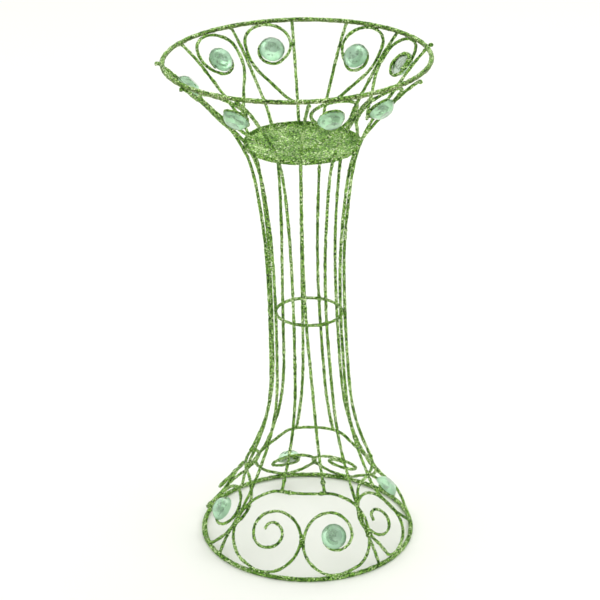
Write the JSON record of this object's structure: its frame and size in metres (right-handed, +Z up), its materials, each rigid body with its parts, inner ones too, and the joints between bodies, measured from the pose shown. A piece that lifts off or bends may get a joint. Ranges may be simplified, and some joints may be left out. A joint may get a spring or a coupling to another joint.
{
  "type": "candle stand",
  "caption": "Flared hourglass stand of glitter-coated wire with scroll panels, glued faceted gems and a pan for a pillar candle.",
  "frame": {"origin": "centre of the base hoop, on the surface that the stand rests on", "axes": "+Z up along the stand; -Y towards the front base panel, so +X is to the right seen from the front"},
  "size_m": [0.2037, 0.2034, 0.4023],
  "materials": {
    "glitter_wire": "steel wire coated with green glitter over green paint",
    "glitter_hoop": "thicker steel wire coated with green glitter over green paint",
    "glitter_pan": "sheet steel covered with green glitter",
    "mint_acrylic": "clear mint acrylic, faceted, foil backed",
    "clear_glue": "clear craft glue"
  },
  "bodies": {
    "root": {"base_gem_back": "mint_acrylic", "base_gem_front": "mint_acrylic", "base_gem_glue": "clear_glue", "base_gem_left": "mint_acrylic", "base_gem_right": "mint_acrylic", "base_hoop": "glitter_hoop", "base_scroll_back": "glitter_wire", "base_scroll_front": "glitter_wire", "base_scroll_left": "glitter_wire", "base_scroll_right": "glitter_wire", "bowl_gem_back_left_a": "mint_acrylic", "bowl_gem_back_left_b": "mint_acrylic", "bowl_gem_back_right_a": "mint_acrylic", "bowl_gem_back_right_b": "mint_acrylic", "bowl_gem_front_left_a": "mint_acrylic", "bowl_gem_front_left_b": "mint_acrylic", "bowl_gem_front_right_a": "mint_acrylic", "bowl_gem_front_right_b": "mint_acrylic", "bowl_gem_glue": "clear_glue", "bowl_scroll_back_left_a": "glitter_wire", "bowl_scroll_back_left_b": "glitter_wire", "bowl_scroll_back_right_a": "glitter_wire", "bowl_scroll_back_right_b": "glitter_wire", "bowl_scroll_front_left_a": "glitter_wire", "bowl_scroll_front_left_b": "glitter_wire", "bowl_scroll_front_right_a": "glitter_wire", "bowl_scroll_front_right_b": "glitter_wire", "candle_pan": "glitter_pan", "corner_post_back_left": "glitter_wire", "corner_post_back_right": "glitter_wire", "corner_post_front_left": "glitter_wire", "corner_post_front_right": "glitter_wire", "panel_post_back_left": "glitter_wire", "panel_post_back_right": "glitter_wire", "panel_post_front_left": "glitter_wire", "panel_post_front_right": "glitter_wire", "panel_post_left_left": "glitter_wire", "panel_post_left_right": "glitter_wire", "panel_post_right_left": "glitter_wire", "panel_post_right_right": "glitter_wire", "top_hoop": "glitter_hoop", "waist_ring": "glitter_wire"}
  },
  "joints": []
}
